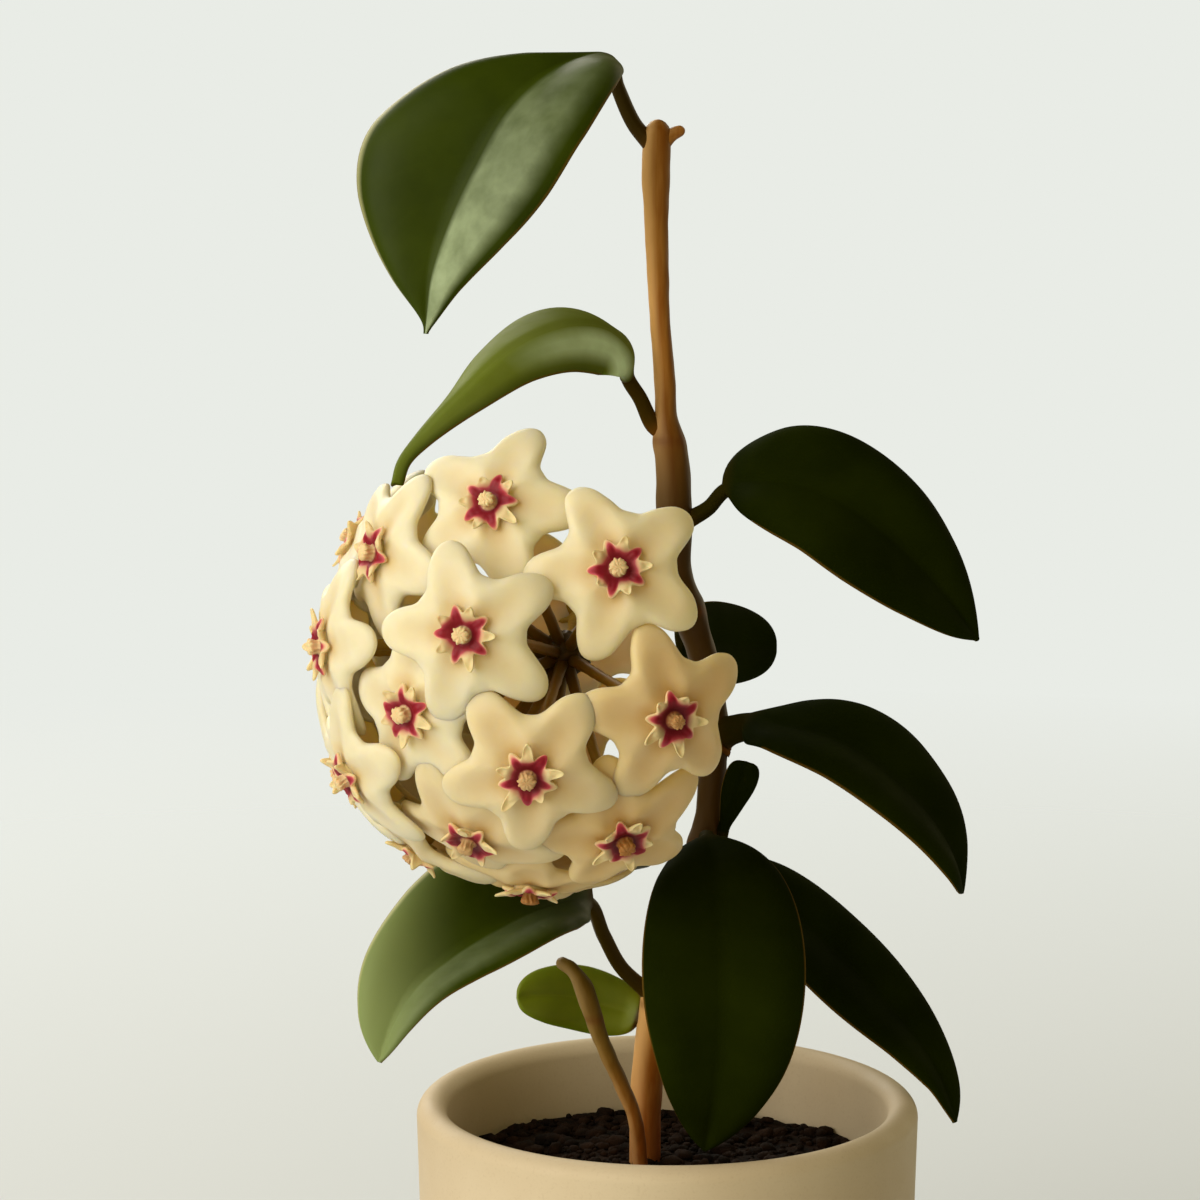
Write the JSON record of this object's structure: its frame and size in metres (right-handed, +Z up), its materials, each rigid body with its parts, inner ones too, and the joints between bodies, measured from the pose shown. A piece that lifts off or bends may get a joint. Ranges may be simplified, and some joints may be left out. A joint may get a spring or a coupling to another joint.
{
  "type": "potted hoya plant",
  "caption": "Small potted climbing plant: a cut upright vine with waxy leaves and one ball-shaped head of star flowers, standing in soil in a round clay pot.",
  "frame": {"origin": "centre of the pot's flat base", "axes": "+Z up along the pot's axis; -Y towards the side that the flower head hangs on, +X to the right seen from there"},
  "size_m": [0.0976, 0.1047, 0.2295],
  "materials": {
    "pot": "matte, fine-grained glaze with a warm cream tone",
    "soil": "rough, damp peat crumbs",
    "stem": "satin brown-green bark with swollen nodes",
    "stalk": "satin golden olive",
    "leaf": "waxy, glossy, with a sunk midrib and a thin tan margin",
    "petal": "thick waxy cream with golden shade in the folds",
    "corona": "glossy red star on cream horns, with a cream knob"
  },
  "bodies": {
    "root": {"pot": "pot", "soil": "soil", "stem_main": "stem", "stem_side": "stem", "flower_stalk": "stalk", "leaf_top": "leaf", "leaf_arched": "leaf", "leaf_right_upper": "leaf", "leaf_back": "leaf", "leaf_right_middle": "leaf", "leaf_bud": "leaf", "leaf_front": "leaf", "leaf_right_lower": "leaf", "leaf_left_lower": "leaf", "leaf_small_low": "leaf", "corolla_01": "petal", "corona_01": "corona", "corolla_02": "petal", "corona_02": "corona", "corolla_03": "petal", "corona_03": "corona", "corolla_04": "petal", "corona_04": "corona", "corolla_05": "petal", "corona_05": "corona", "corolla_06": "petal", "corona_06": "corona", "corolla_07": "petal", "corona_07": "corona", "corolla_08": "petal", "corona_08": "corona", "corolla_09": "petal", "corona_09": "corona", "corolla_10": "petal", "corona_10": "corona", "corolla_11": "petal", "corona_11": "corona", "corolla_12": "petal", "corona_12": "corona", "corolla_13": "petal", "corona_13": "corona", "corolla_14": "petal", "corona_14": "corona", "corolla_15": "petal", "corona_15": "corona", "corolla_16": "petal", "corona_16": "corona", "corolla_17": "petal", "corona_17": "corona", "corolla_18": "petal", "corona_18": "corona", "corolla_19": "petal", "corona_19": "corona", "corolla_20": "petal", "corona_20": "corona", "corolla_21": "petal", "corona_21": "corona", "corolla_22": "petal", "corona_22": "corona"}
  },
  "joints": []
}
